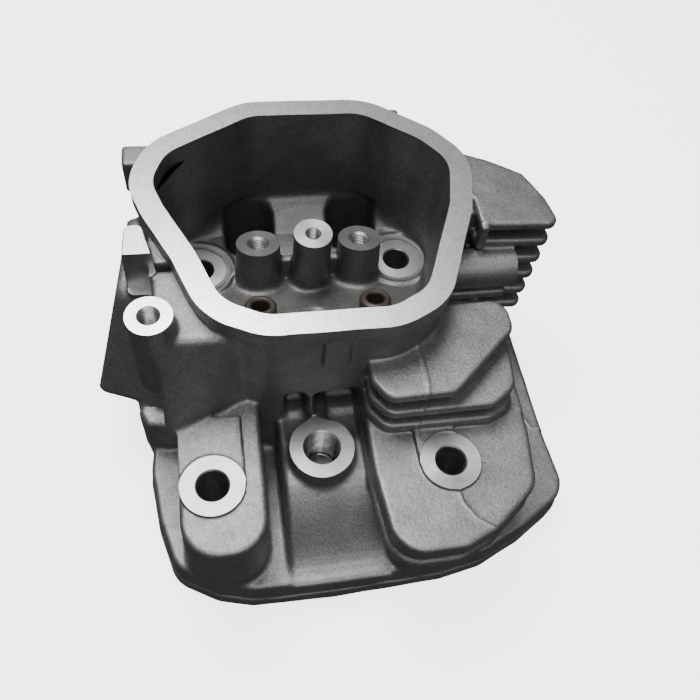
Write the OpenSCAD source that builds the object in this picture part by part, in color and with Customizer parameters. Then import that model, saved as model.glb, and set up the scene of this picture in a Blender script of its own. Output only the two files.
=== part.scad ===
// Bare cylinder head of a small air-cooled overhead-valve engine.
// Millimetres. Z = 0 is the gasket face, +Z points to the rocker cover,
// and the Z axis is the cylinder bore axis. The spark plug is on the -Y side.

/* [Piece] */
// Which piece to draw

/* [Deck] */
// Thickness of the base plate above the gasket face
deck_t = 17; // [12:0.5:22]
// Height of the square-edged rim at the bottom of the base plate
deck_rim = 6.5; // [4:0.5:10]
// Radius of the recess over the cylinder bore
chamber_r = 38; // [30:0.5:42]
// Distance between head bolts along X
bolt_x = 84.4; // [70:0.2:100]
// Distance between head bolts along Y
bolt_y = 100; // [80:0.5:110]
// Radius of a head bolt hole
bolt_r = 5.5; // [4:0.1:7]
// Radius of the machined ring under a bolt head
spot_r = 11; // [8:0.25:14]
// Height of the front bolt seats above the gasket face
seat_z = 53; // [40:0.5:60]

/* [Valves] */
// Lean of the valve axes away from the bore axis, in degrees
valve_tilt = 13.2; // [0:0.1:20]
// X of the intake valve
intake_x = -20.5; // [-26:0.5:-16]
// X of the exhaust valve
exhaust_x = 22.5; // [16:0.5:26]
// Radius of the intake valve throat
intake_throat = 14.5; // [11:0.5:17]
// Radius of the exhaust valve throat
exhaust_throat = 12.5; // [10:0.5:15]
// Outside radius of a valve guide
guide_r = 6; // [5:0.1:7]
// Bore radius of a valve guide
stem_r = 3.3; // [2.5:0.05:4]
// Length of a valve guide
guide_len = 44; // [30:1:55]

/* [Rocker box] */
// Height of the cover face above the gasket face
cover_z = 98; // [85:0.5:110]
// Height of the rim under the cover face
rim_h = 7; // [4:0.5:10]
// Wall thickness at the cover face
rim_w = 8.3; // [6:0.1:10]
// Height of the rear bolt seats
floor_z = 46; // [40:0.5:55]

/* [Spark plug] */
// Height of the spark plug seat
plug_z = 46; // [40:0.5:52]
// Radius of the plug thread bore, for an M14 thread
plug_r = 6.35; // [5:0.05:7]
// Radius of the plug seat ring
plug_ring = 11.8; // [9:0.1:14]
// Length of the plug thread
plug_reach = 20; // [12:0.5:24]

/* [Threads] */
// Radius of an M8 tapped hole
stud_r = 3.4; // [3:0.05:4]

/* [Hidden] */
$fn = 72;
e = 0.5;
fin_t = 4.4;
fin_z = [33.7, 44, 54.4, 64.7, 75, 85];
box_base = 44;
valve_y = -5.5;
valve_z = 8.5;
spring_s = 48.4;
guide_top = 66.5;

cast = [0.66, 0.67, 0.65];
sintered = [0.42, 0.37, 0.33];
steel = [0.75, 0.76, 0.78];
hard = [0.5, 0.5, 0.52];

// Round the outer corners of a 2D outline.
module soft(r) {
    offset(r = r) offset(delta = -r) children();
}

// Round the inner corners of a 2D outline.
module soft_in(r) {
    offset(r = -r) offset(delta = r) children();
}

// Outline of the gasket deck, seen from above.
module deck_plan() {
    soft(14) polygon([
        [-66.5, 60], [-66.5, -12], [-67.6, -26], [-65, -46],
        [-59.6, -66], [-44, -74.8], [-31, -78.2], [0, -78.8],
        [42, -77.4], [60, -74.2], [78, -66.4], [99.8, -53.4], [98, -27],
        [98, 44], [90, 62], [56, 76], [34, 93], [-24, 93], [-58, 72]
    ]);
}

// Outline of the cover face.
module cover_plan() {
    soft(12) polygon([
        [-65, 50], [-59.8, 34], [-49.8, 12.5], [-41, -12], [-22, -21.2],
        [24, -21], [41.5, -12], [59.5, 30], [65.5, 56], [53, 73],
        [29, 91.3], [-20, 91.3], [-57, 69.5]
    ]);
}

// Outline of the rocker box wall below the rim.
module wall_plan() {
    offset(delta = -1.6) cover_plan();
}

// Hollow of the rocker box.
module hollow_plan() {
    offset(delta = -rim_w) cover_plan();
}

// Move children onto a valve axis, s mm up from the roof of the chamber.
module on_valve(x, s = 0) {
    translate([x, valve_y, valve_z]) rotate([-valve_tilt, 0, 0])
        translate([0, 0, s]) children();
}

// Height of the sloping rocker floor at a given Y.
function floor_at(y) = floor_z - 3 + (bolt_y / 2 - y) * tan(valve_tilt);

// Everything below the rocker floor, which is level behind the bosses.
module under_floor() {
    translate([-120, 0, 0]) rotate([90, 0, 90]) linear_extrude(240)
        polygon([
            [-90, -9], [-90, floor_at(-90)], [46, floor_at(46)],
            [51, floor_z], [77, floor_z], [83, floor_z + 5], [130, floor_z + 5],
            [130, -9]
        ]);
}

// A straight duct between two points.
module duct(a, b, r) {
    d = b - a;
    len = norm(d);
    translate(a)
        rotate([0, acos(d[2] / len), atan2(d[1], d[0])]) rotate(75)
            cylinder(h = len, r = r);
}

// Throat of a valve, from the chamber up to the bend of its port.
module throat(x, r) {
    on_valve(x, -6) cylinder(h = 24, r = r - 2);
}

module intake_port_cut() {
    duct([intake_x + 1.5, -3, 21.5], [-97.9, 37.8, 70], 11);
}

module exhaust_port_cut() {
    duct([exhaust_x, -2.5, 25.5], [96, -8, 42], 9.5);
}

module head_bolts() {
    for (x = [-bolt_x / 2, bolt_x / 2])
        for (y = [-bolt_y / 2, bolt_y / 2])
            translate([x, y, -e]) cylinder(h = 70, r = bolt_r);
}

// Openings for the two pushrods, either side of the middle of the floor.
module pushrod_cuts() {
    for (x = [-30.5, 14.5])
        translate([x, 58, -e]) linear_extrude(70)
            soft(6) square([21, 23]);
}

// Plug thread, with the wider recess that leads to the chamber.
module plug_cut() {
    translate([-2.2, -36.5, -e]) {
        cylinder(h = 70, r = plug_r);
        cylinder(h = plug_z - plug_reach + e, r = plug_r + 1.2);
    }
}

// Flange plane of the intake port, as seen from its lower front corner.
module on_intake_face() {
    translate([-84.1, 0, 35]) rotate([0, 14.65, -6.7]) children();
}

module intake_stud_cuts() {
    for (p = [[0, 13.3, 7.24], [0, 45.4, 38.2]])
        on_intake_face() translate(p) rotate([0, 90, 0]) rotate(40)
            translate([0, 0, -5]) cylinder(h = 17, r = stud_r);
}

module seat_pockets() {
    on_valve(intake_x, -8) cylinder(h = 14, r = intake_throat + 3);
    on_valve(exhaust_x, -8) cylinder(h = 14, r = exhaust_throat + 3);
}

// Way for cooling air between the two ports, under the rocker floor.
module air_way() {
    translate([-14, -30, 38.5]) cube([28.6, 20.5, 17]);
    translate([0, 50, floor_z]) rotate([-valve_tilt, 0, 0])
        translate([-4, -80, -17]) cube([12.5, 140, 12]);
}

// Where the casting of the rocker box and its floor already is.
module inside_wall() {
    translate([0, 0, -e]) linear_extrude(cover_z - rim_h + e) wall_plan();
    translate([0, 0, cover_z - rim_h]) linear_extrude(rim_h + e)
        cover_plan();
}

// Base plate with the gasket face and the wedge-shaped chamber.
module gasket_deck() {
    color(cast) difference() {
        union() {
            linear_extrude(deck_rim) deck_plan();
            translate([0, 0, deck_rim]) linear_extrude(deck_t - deck_rim)
                offset(delta = -1) deck_plan();
        }
        intersection() {
            translate([0, 0, -e]) cylinder(h = 16.5, r = chamber_r);
            on_valve(0) translate([-60, -80, -60]) cube([120, 140, 60]);
        }
        seat_pockets();
        throat(intake_x, intake_throat);
        throat(exhaust_x, exhaust_throat);
        head_bolts();
        pushrod_cuts();
        plug_cut();
    }
}

// Port block between the deck and the sloping rocker floor.
module port_core() {
    color(cast) difference() {
        union() {
            translate([0, 0, deck_t]) linear_extrude(box_base - deck_t)
                wall_plan();
            intersection() {
                translate([0, 0, box_base]) linear_extrude(30) hollow_plan();
                under_floor();
            }
            for (x = [-bolt_x / 2, bolt_x / 2])
                translate([x, bolt_y / 2, deck_t])
                    cylinder(h = floor_z - deck_t, r = spot_r + 1.6);
            for (x = [intake_x, exhaust_x])
                on_valve(x, spring_s - 8) cylinder(h = 8, r = 15.5);
        }
        for (x = [-bolt_x / 2, bolt_x / 2])
            translate([x, bolt_y / 2, floor_z])
                cylinder(h = 20, r = spot_r + 1.6);
        seat_pockets();
        throat(intake_x, intake_throat);
        throat(exhaust_x, exhaust_throat);
        intake_port_cut();
        exhaust_port_cut();
        for (x = [intake_x, exhaust_x]) {
            on_valve(x, 14) cylinder(h = 60, r = guide_r);
            on_valve(x, spring_s) cylinder(h = 20, r = 15.5);
        }
        head_bolts();
        pushrod_cuts();
        air_way();
    }
}

// Ramp between the front pads, with the spark plug seat.
module plug_deck() {
    color(cast) difference() {
        union() {
            translate([-17, 0, 0]) rotate([90, 0, 90]) linear_extrude(32)
                polygon([
                    [-76.5, deck_t], [-76.5, 18], [-66, 20.5], [-56, 28],
                    [-50, 35], [-46, 38.5], [-10, 38.5], [-10, deck_t]
                ]);
            translate([-2.2, -36.5, deck_t])
                cylinder(h = plug_z - deck_t, r = plug_ring);
        }
        plug_cut();
        inside_wall();
        linear_extrude(80) right_pad_plan();
    }
}

// Outline of the left front pad.
module left_pad_plan() {
    difference() {
        soft(13.5) polygon([
            [-53.3, 4], [-54, -74.8], [-24.2, -74.8], [-23.6, 4]
        ]);
        wall_plan();
    }
}

module left_pad() {
    color(cast) difference() {
        union() {
            translate([0, 0, deck_t]) linear_extrude(seat_z - 1.5 - deck_t)
                left_pad_plan();
            translate([-bolt_x / 2, -bolt_y / 2, deck_t])
                cylinder(h = seat_z - deck_t, r = spot_r);
            translate([-bolt_x / 2 - spot_r, -bolt_y / 2, deck_t + 1])
                cube([2 * spot_r, 21, seat_z - deck_t - 1]);
            translate([0, 0, deck_t]) linear_extrude(35 - deck_t)
                left_foot_plan();
        }
        head_bolts();
    }
}

// Foot under the intake flange, between the left pad and the deck edge.
module left_foot_plan() {
    difference() {
        soft(4) polygon([
            [-65.5, -13], [-59, -17], [-45, -17], [-45, 12], [-65.5, 12]
        ]);
        wall_plan();
    }
}

// Outline of the right front pad, with the outlet port behind it.
module right_pad_plan(grow = 0) {
    difference() {
        offset(delta = grow) soft(9) polygon([
            [15, 40], [14.2, -50], [16.4, -74], [23, -81.6], [42, -81.4],
            [54, -76.4], [72, -62.5], [75.2, -40], [75.2, 24], [60, 40]
        ]);
        wall_plan();
        translate([-50, 26]) square([200, 60]);
    }
}

module right_pad() {
    color(cast) difference() {
        union() {
            translate([0, 0, deck_t]) linear_extrude(seat_z - 3 - deck_t)
                right_pad_plan(-4);
            translate([0, 0, 35.5]) linear_extrude(4.5)
                right_pad_plan(0.6);
            translate([0, 0, 43]) linear_extrude(seat_z - 1.5 - 43)
                right_pad_plan();
            translate([0, 0, 39]) linear_extrude(5)
                right_pad_plan(-1.4);
            translate([bolt_x / 2, -bolt_y / 2, deck_t])
                cylinder(h = seat_z - deck_t, r = spot_r);
        }
        head_bolts();
        exhaust_port_cut();
        exhaust_flange_solid(20);
    }
}

module exhaust_flange_solid(reach = 0) {
    translate([64, -33, deck_t])
        cube([11.2 + reach, 53, seat_z - 1.5 - deck_t]);
}

// Flat outlet face for the muffler, with its two tapped holes.
module exhaust_flange() {
    color(cast) difference() {
        exhaust_flange_solid();
        exhaust_port_cut();
        for (y = [-28.4, 15.6])
            translate([75.2 - 10, y, 37.3]) rotate([0, 90, 0])
                cylinder(h = 20, r = stud_r);
    }
}

// Walls of the rocker box and the rim for its cover.
module rocker_box() {
    color(cast) difference() {
        union() {
            translate([0, 0, box_base])
                linear_extrude(cover_z - rim_h - box_base) wall_plan();
            translate([0, 0, cover_z - rim_h]) linear_extrude(rim_h)
                cover_plan();
            translate([-2, -21.6, 76]) cube([9, 4, cover_z - rim_h - 76]);
        }
        translate([0, 0, box_base - e]) linear_extrude(80) hollow_plan();
        air_way();
        intake_port_cut();
        intake_stud_cuts();
    }
}

// Flange and duct of the intake port, facing left and a little up.
module intake_flange() {
    color(cast) difference() {
        intersection() {
            translate([-95, -20, 35]) cube([60, 71, 45]);
            on_intake_face()
                translate([0, -60, -60]) cube([120, 160, 160]);
            translate([-84.1, 0, 35]) rotate([-23.3, 0, -23.6])
                translate([-60, 0, -60]) cube([160, 120, 160]);
        }
        inside_wall();
        intake_port_cut();
        translate([0, 0, deck_t]) linear_extrude(seat_z) left_pad_plan();
        ledge_solid();
        lug_solid();
        intake_stud_cuts();
    }
}

// Solid under the cast ledge beside the rocker box.
module ledge_solid() {
    hull() {
        translate([-57.6, -14.8, 89]) cube([28, 30.5, 1]);
        translate([0, 0, seat_z - 1.5]) linear_extrude(1)
            polygon([[-57, -31], [-49, -27.5], [-38, -22.5], [-29, -17],
                [-29, 14], [-57, 14]]);
    }
}

module side_ledge() {
    color(cast) difference() {
        union() {
            ledge_solid();
            translate([-58.4, 17.5, 80.5]) cube([10, 15, 10]);
        }
        inside_wall();
        intake_port_cut();
        lug_solid();
        translate([-57.4, -10, 60]) cylinder(h = 60, r = 7.55);
    }
}

// Tapped boss beside the rocker box, level with the cover face.
module side_boss() {
    color(cast) difference() {
        translate([-57.4, -10, 62]) cylinder(h = cover_z - 62, r = 7.55);
        translate([-57.4, -10, 78]) cylinder(h = 30, r = stud_r);
        translate([-57.4, -10, cover_z - 0.5])
            cylinder(h = 1, r1 = stud_r, r2 = 4.4);
    }
}

module lug_solid() {
    difference() {
        translate([0, 0, 60]) linear_extrude(cover_z - 60)
            soft(1.2) polygon([
                [-67, 15.6], [-66.2, 29], [-60.2, 29], [-56.4, 15.6]
            ]);
        inside_wall();
    }
}

// Machined lug on the left, level with the cover face.
module facet_lug() {
    color(cast) lug_solid();
}

// Outlines of the three cooling fins over the right pad, top one first.
module front_fin_plan(i) {
    ends = [
        [[43, -35.2], [71, -10.5]],
        [[64, -36], [72.2, -30]],
        [[60, -36.6], [71, -33]]
    ];
    difference() {
        soft(9) polygon([
            [14.7, 3], [14.7, -36], ends[i][0], ends[i][1], [71, 3]
        ]);
        wall_plan();
    }
}

module front_fins() {
    tops = [76, 65.5, 56];
    color(cast) difference() {
        union() {
            for (i = [0:2])
                translate([0, 0, tops[i] - fin_t]) linear_extrude(fin_t)
                    front_fin_plan(i);
            translate([0, 0, seat_z - 1.5])
                linear_extrude(tops[0] - seat_z) difference() {
                    soft(6) polygon([
                        [19, -1], [19, -27], [46, -27], [60, -12], [60, -1]
                    ]);
                    wall_plan();
                }
        }
        inside_wall();
    }
}

// Outline of one of the rear fins.
module rear_fin_plan() {
    difference() {
        soft_in(4) soft(9) polygon([
            [66, 30.5], [98.4, 29], [96.4, 43], [90.6, 57.6], [76.8, 66.5],
            [52, 78], [40, 79], [48, 60], [66, 44]
        ]);
        wall_plan();
    }
}

module rear_fins() {
    color(cast) difference() {
        union() {
            for (z = fin_z)
                translate([0, 0, z - fin_t / 2]) linear_extrude(fin_t)
                    rear_fin_plan();
            translate([57, 20.5, fin_z[2] - fin_t / 2])
                cube([25, 14, fin_t]);
            translate([0, 0, deck_t]) linear_extrude(fin_z[5] - deck_t)
                difference() {
                    soft(5) polygon([
                        [50, 40], [68, 38], [78, 46], [72, 62], [50, 72]
                    ]);
                    wall_plan();
                }
            translate([66, 28.5, fin_z[5] - 10]) cube([3.4, 4, 12.2]);
        }
        translate([0, 0, deck_t]) linear_extrude(seat_z - 1.5 - deck_t)
            right_pad_plan();
        outlet_boss_solid();
        inside_wall();
        head_bolts();
    }
}

module outlet_boss_solid() {
    translate([52, 26, 66]) rotate([0, 90, 0]) cylinder(h = 30.5, r = 8);
}

// Sideways boss over the outlet port, tapped for a shroud screw.
module outlet_boss() {
    color(cast) difference() {
        outlet_boss_solid();
        inside_wall();
        translate([68, 26, 66]) rotate([0, 90, 0])
            cylinder(h = 20, r = 2.5);
    }
}

// Two small cast lugs behind the cover face.
module rear_lugs() {
    color(cast) difference() {
        union() {
            translate([-67.5, 66, 76]) cube([16, 10.5, 15]);
            translate([31, 70, 60]) cube([13.5, 24, 31]);
        }
        inside_wall();
        translate([0, 0, deck_t]) linear_extrude(seat_z) rear_fin_plan();
        translate([0, 0, 50]) linear_extrude(60) rear_fin_plan();
    }
}

// Tapped boss for a rocker stud, along its own leaning axis.
module stud_boss(x) {
    difference() {
        translate([x, 49, 62]) rotate([-valve_tilt, 0, 0])
            translate([0, 0, -24]) cylinder(h = 24, r = 9.2);
        port_floor_cut();
        translate([x, 49, 62]) rotate([-valve_tilt, 0, 0])
            translate([0, 0, -16]) cylinder(h = 30, r = stud_r);
        translate([x, 49, 62]) rotate([-valve_tilt, 0, 0])
            translate([0, 0, -0.9]) cylinder(h = 1, r1 = stud_r, r2 = 4.4);
    }
}

// Space filled by the rocker floor.
module port_floor_cut() {
    under_floor();
    translate([-100, -100, -10]) cube([200, 250, floor_z - 3 + 10]);
}

module intake_stud_boss() {
    color(cast) stud_boss(-18);
}

module exhaust_stud_boss() {
    color(cast) stud_boss(24);
}

// Middle boss for the cover bolt, with the webs to its neighbours.
module cover_boss() {
    color(cast) difference() {
        union() {
            translate([3.3, 43, floor_z - 3])
                cylinder(h = 73 - floor_z + 3, r = 7.75);
            translate([-11, 44, floor_z - 3]) cube([28, 5, 9.5]);
        }
        port_floor_cut();
        translate([3.3, 43, 54]) cylinder(h = 30, r = 2.55);
        translate([3.3, 43, 72.2]) cylinder(h = 1, r1 = 2.55, r2 = 3.4);
        for (x = [-18, 24])
            translate([x, 49, 62]) rotate([-valve_tilt, 0, 0])
                translate([0, 0, -30]) cylinder(h = 40, r = 9.2);
    }
}

// Pressed-in sintered guide with a groove for its clip.
module guide(x) {
    on_valve(x, guide_top - guide_len) rotate_extrude() polygon([
        [stem_r, 0], [guide_r - 0.8, 0], [guide_r, 2],
        [guide_r, guide_len - 10.4], [guide_r - 0.7, guide_len - 10.4],
        [guide_r - 0.7, guide_len - 8.8], [guide_r, guide_len - 8.8],
        [guide_r, guide_len - 1], [guide_r - 1, guide_len],
        [stem_r + 0.5, guide_len], [stem_r, guide_len - 0.5]
    ]);
}

module intake_guide() {
    color(sintered) guide(intake_x);
}

module exhaust_guide() {
    color(sintered) guide(exhaust_x);
}

// Open spring clip in the groove of a guide.
module clip(x) {
    on_valve(x, guide_top - 9.6) rotate([0, 0, 30])
        rotate_extrude(angle = 300) translate([guide_r + 0.1, 0])
            circle(r = 0.75, $fn = 24);
}

module intake_clip() {
    color(steel) clip(intake_x);
}

module exhaust_clip() {
    color(steel) clip(exhaust_x);
}

// Pressed-in valve seat with a 45 degree face.
module seat(x, r) {
    on_valve(x) rotate_extrude() polygon([
        [r - 2, 2.6], [r + 0.6, 0], [r + 3, 0], [r + 3, 6], [r - 2, 6]
    ]);
}

module intake_seat() {
    color(hard) seat(intake_x, intake_throat);
}

module exhaust_seat() {
    color(hard) seat(exhaust_x, exhaust_throat);
}

gasket_deck();
port_core();
plug_deck();
left_pad();
right_pad();
exhaust_flange();
rocker_box();
intake_flange();
side_ledge();
side_boss();
facet_lug();
front_fins();
rear_fins();
outlet_boss();
rear_lugs();
intake_stud_boss();
exhaust_stud_boss();
cover_boss();
intake_guide();
exhaust_guide();
intake_clip();
exhaust_clip();
intake_seat();
exhaust_seat();
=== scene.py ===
"""Bare cylinder head: the casting as one smooth field, machined, then split into its named pieces."""

import math

import bmesh
import bpy
import numpy as np
import openvdb
from mathutils import Matrix, Vector


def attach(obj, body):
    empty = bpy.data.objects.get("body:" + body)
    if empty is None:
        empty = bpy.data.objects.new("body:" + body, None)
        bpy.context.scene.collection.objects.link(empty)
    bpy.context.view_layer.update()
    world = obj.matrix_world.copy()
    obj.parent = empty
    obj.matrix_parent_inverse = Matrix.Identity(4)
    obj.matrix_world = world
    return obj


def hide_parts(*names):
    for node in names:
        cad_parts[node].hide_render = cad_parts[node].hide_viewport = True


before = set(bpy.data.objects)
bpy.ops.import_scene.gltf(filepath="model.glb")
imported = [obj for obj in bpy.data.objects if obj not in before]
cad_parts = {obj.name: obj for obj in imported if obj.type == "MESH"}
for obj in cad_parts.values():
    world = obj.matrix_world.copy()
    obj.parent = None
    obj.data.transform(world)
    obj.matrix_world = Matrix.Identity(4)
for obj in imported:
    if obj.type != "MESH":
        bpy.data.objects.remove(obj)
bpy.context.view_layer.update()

MM = 0.001
STEP = 0.55
FAR = 4.0
BODY = "root"

# ---------------------------------------------------------------- sizes, mm
TOP = 98.0
RIM_H = 7.0
RIM_W = 8.3
OVERHANG = 1.6
COVER_R = 24.0
DECK = 17.0
DECK_RIM = 6.5
FLOOR = 46.0
SEAT = 53.0
PAD = 51.5
PLUG_Z = 46.0
STOCK = 0.9  # metal left on the cast shape for machining
BOLTS = [(sx * 42.2, sy * 50.0) for sx in (-1, 1) for sy in (-1, 1)]
LEFT_FRONT, LEFT_REAR, RIGHT_FRONT, RIGHT_REAR = BOLTS
BOLT_R = 5.5
SPOT_R = 11.0
PLUG = (-2.2, -36.5)
PLUG_RING = 12.0
LEAN = math.radians(13.2)
LEAN_AXIS = Vector((0, math.sin(LEAN), math.cos(LEAN)))
UP = (0, 0, 1)
RIGHTWARD = (1, 0, 0)
CHAMBER_R = 38
VALVE_X = {"intake": -20.5, "exhaust": 22.5}
VALVE_Y, VALVE_Z = -5.5, 8.5
SPRING_S, SPRING_R = 48.4, 15.5
THROAT = {"intake": 14.5, "exhaust": 12.5}
SEAT_DEEP = 4.2
GUIDE_TOP, GUIDE_LEN, GUIDE_R, STEM_R = 66.5, 44.0, 6.0, 3.3
STUDS = {"intake": (-18, 49, 62), "exhaust": (24, 49, 62)}
STUD_BOSS_R = 9.2
COVER_BOSS = (3.3, 43, 73)
SIDE_BOSS = (-57.4, -10)
OUTLET_BOSS = (82.5, 26, 66)
OUTLET_X = 75.2
FACE_N = Vector((-0.9609, 0.1129, 0.2529))
FACE_AT = Vector((-84.1, 0, 35))
# Threads, as minor radius, major radius and pitch
M14, M8, M6 = (6.35, 7.1, 1.25), (3.4, 4.05, 1.25), (2.55, 3.05, 1.0)
SIDE_THREAD, OUTLET_THREAD = (3.2, 3.85, 1.25), (2.5, 3.0, 0.8)
FIN_T = 4.4
REAR_FIN_Z = [33.7, 44, 54.4, 64.7, 75, 85]
FRONT_FIN_TOPS = [76, 65.5, 56]

DECK_PLAN = [
    (-66.5, 60), (-66.5, -12), (-67.6, -26), (-65, -46), (-59.6, -66),
    (-44, -74.8), (-31, -78.2), (0, -78.8), (42, -77.4), (60, -74.2),
    (78, -66.4), (99.8, -53.4), (98, -27), (98, 44), (90, 62), (56, 76),
    (34, 93), (-24, 93), (-58, 72),
]
COVER_PLAN = [
    (-65, 50), (-59.8, 34), (-49.8, 12.5), (-41, -12), (-22, -21.2),
    (24, -21), (41.5, -12), (59.5, 30), (65.5, 56), (53, 73), (29, 91.3),
    (-20, 91.3), (-57, 69.5),
]
LEFT_PAD = [(-53.3, 4), (-54, -74.8), (-24.2, -74.8), (-23.6, 4)]
LEFT_FOOT = [(-68.7, -10), (-66, -15.5), (-59, -17), (-45, -17), (-45, 12), (-68.7, 12)]
RIGHT_PAD = [
    (15, 26), (14.2, -50), (16.4, -74), (23, -81.6), (42, -81.4),
    (54, -76.4), (72, -62.5), (75.2, -40), (75.2, 26),
]
FIN_PLANS = [
    [(14.2, 3), (13.9, -27), (19, -35.6), (43.5, -35), (71, -10.5), (71, 3)],
    [(14.2, 3), (14.2, -28), (20.5, -36.2), (60, -35.6), (69.4, -29), (71, -18), (71, 3)],
    [(14.2, 3), (14.2, -28), (20.5, -36.4), (60, -36.6), (70, -32), (71, -22), (71, 3)],
]
REAR_FIN = [
    (66, 30.5), (98.4, 29), (96.4, 43), (90.6, 57.6), (76.8, 66.5), (52, 78),
    (40, 79), (48, 60), (66, 44),
]
FACET = [(-66.4, 12), (-65.4, 29), (-59.2, 29), (-55.2, 12)]


# ------------------------------------------------------- distance functions
def runs_left(points):
    """Whether an outline runs counter-clockwise."""
    pairs = zip(points, points[1:] + points[:1])
    return sum(a[0] * b[1] - b[0] * a[1] for a, b in pairs) > 0


def inset(points, r):
    """The same outline with every edge moved in by r."""
    side = 1 if runs_left(points) else -1
    lines = []
    for a, b in zip(points, points[1:] + points[:1]):
        d = Vector((b[0] - a[0], b[1] - a[1])).normalized()
        n = Vector((-d.y, d.x)) * side
        lines.append((Vector(a) + n * r, d))
    out = []
    for (p, d), (q, g) in zip(lines[-1:] + lines[:-1], lines):
        cross = d.x * g.y - d.y * g.x
        t = ((q - p).x * g.y - (q - p).y * g.x) / cross
        out.append(tuple(p + d * t))
    return out


def polygon_distance(x, y, pts):
    """Signed distance from points to a closed outline, negative inside."""
    best = np.full(np.broadcast(x, y).shape, 1e9, np.float32)
    inside = np.zeros(best.shape, bool)
    for (ax, ay), (bx, by) in zip(pts, pts[1:] + pts[:1]):
        ex, ey = bx - ax, by - ay
        wx, wy = x - ax, y - ay
        t = np.clip((wx * ex + wy * ey) / (ex * ex + ey * ey), 0, 1)
        best = np.minimum(best, (wx - ex * t) ** 2 + (wy - ey * t) ** 2)
        if ay != by:
            inside ^= ((ay > y) != (by > y)) & (wx < ex * wy / ey)
    return np.where(inside, -1, 1) * np.sqrt(best)


def outline(points, corner=0.0, grow=0.0):
    """A 2D outline with rounded outer corners, as a distance function."""
    pts = inset(points, corner) if corner else list(points)

    def f(x, y):
        return polygon_distance(x, y, pts) - corner - grow

    f.low = [min(p[i] for p in points) - grow for i in (0, 1)]
    f.high = [max(p[i] for p in points) + grow for i in (0, 1)]
    return f


def smooth_min(a, b, k):
    """The union of two shapes with a fillet about k across."""
    if k <= 0:
        return np.minimum(a, b)
    h = np.maximum(k - np.abs(a - b), 0) / k
    return np.minimum(a, b) - h * h * (k / 4)


def both(a, b, r):
    """Where two distances meet, with an outer edge of radius r."""
    a, b = a + r, b + r
    return (
        np.minimum(np.maximum(a, b), 0)
        + np.sqrt(np.maximum(a, 0) ** 2 + np.maximum(b, 0) ** 2)
        - r
    )


def shape(f, low, high):
    """A distance function with the box that its solid lies in."""
    f.low, f.high = low, high
    return f


def plate(plan, z0, z1, edge=0.0, draft=0.0):
    """An outline raised from z0 to z1, narrowing upwards by its draft."""
    def f(x, y, z):
        flat = plan(x, y) + (z - z0) * draft
        return both(flat, np.abs(z - (z0 + z1) / 2) - (z1 - z0) / 2, edge)

    return shape(f, [*plan.low, z0], [*plan.high, z1])


def rod(a, b, r, edge=0.0, draft=0.0):
    """A round bar from a to b."""
    a, b = Vector(a), Vector(b)
    n, length = (b - a).normalized(), (b - a).length

    def f(x, y, z):
        dx, dy, dz = x - a.x, y - a.y, z - a.z
        s = dx * n.x + dy * n.y + dz * n.z
        q = np.sqrt(np.maximum(dx * dx + dy * dy + dz * dz - s * s, 0))
        flat = q - r + s * draft
        return both(flat, np.abs(s - length / 2) - length / 2, edge)

    low = [min(a[i], b[i]) - r for i in range(3)]
    high = [max(a[i], b[i]) + r for i in range(3)]
    return shape(f, low, high)


def block(low, high, edge=0.0):
    """A box between two corners."""
    mid = [(a + b) / 2 for a, b in zip(low, high)]
    half = [(b - a) / 2 for a, b in zip(low, high)]

    def f(x, y, z):
        flat = both(np.abs(x - mid[0]) - half[0], np.abs(y - mid[1]) - half[1], edge)
        return both(flat, np.abs(z - mid[2]) - half[2], edge)

    return shape(f, low, high)


def planes(sides, low, high, k=2.0):
    """The space behind a set of planes, each a normal and a point."""
    def f(x, y, z):
        out = None
        for n, p in sides:
            n = Vector(n).normalized()
            d = (x - p[0]) * n.x + (y - p[1]) * n.y + (z - p[2]) * n.z
            out = d if out is None else -smooth_min(-out, -d, k)
        return out

    return shape(f, low, high)


def hull(points, k=2.0):
    """The convex hull of some points, with soft edges."""
    bm = bmesh.new()
    for p in points:
        bm.verts.new(p)
    bmesh.ops.convex_hull(bm, input=bm.verts)
    bmesh.ops.dissolve_limit(bm, angle_limit=0.01, verts=bm.verts, edges=bm.edges)
    bm.normal_update()
    sides = [(f.normal.copy(), f.calc_center_median().copy()) for f in bm.faces]
    bm.free()
    middle = sum((Vector(p) for p in points), Vector()) / len(points)
    sides = [(n if n.dot(p - middle) > 0 else -n, p) for n, p in sides]
    low = [min(p[i] for p in points) for i in range(3)]
    high = [max(p[i] for p in points) for i in range(3)]
    return planes(sides, low, high, k)


def section(points, x0, x1, edge=0.0, corner=0.0):
    """An outline in Y and Z, carried along X."""
    pts = inset(points, corner) if corner else list(points)

    def f(x, y, z):
        flat = polygon_distance(y, z, pts) - corner
        return both(flat, np.abs(x - (x0 + x1) / 2) - (x1 - x0) / 2, edge)

    ys, zs = [p[0] for p in points], [p[1] for p in points]
    return shape(f, [x0, min(ys), min(zs)], [x1, max(ys), max(zs)])


def meet(a, b, k=0.0):
    """The space two shapes share."""
    def f(x, y, z):
        return -smooth_min(-a(x, y, z), -b(x, y, z), k)

    low = [max(p, q) for p, q in zip(a.low, b.low)]
    high = [min(p, q) for p, q in zip(a.high, b.high)]
    return shape(f, low, high)


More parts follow.
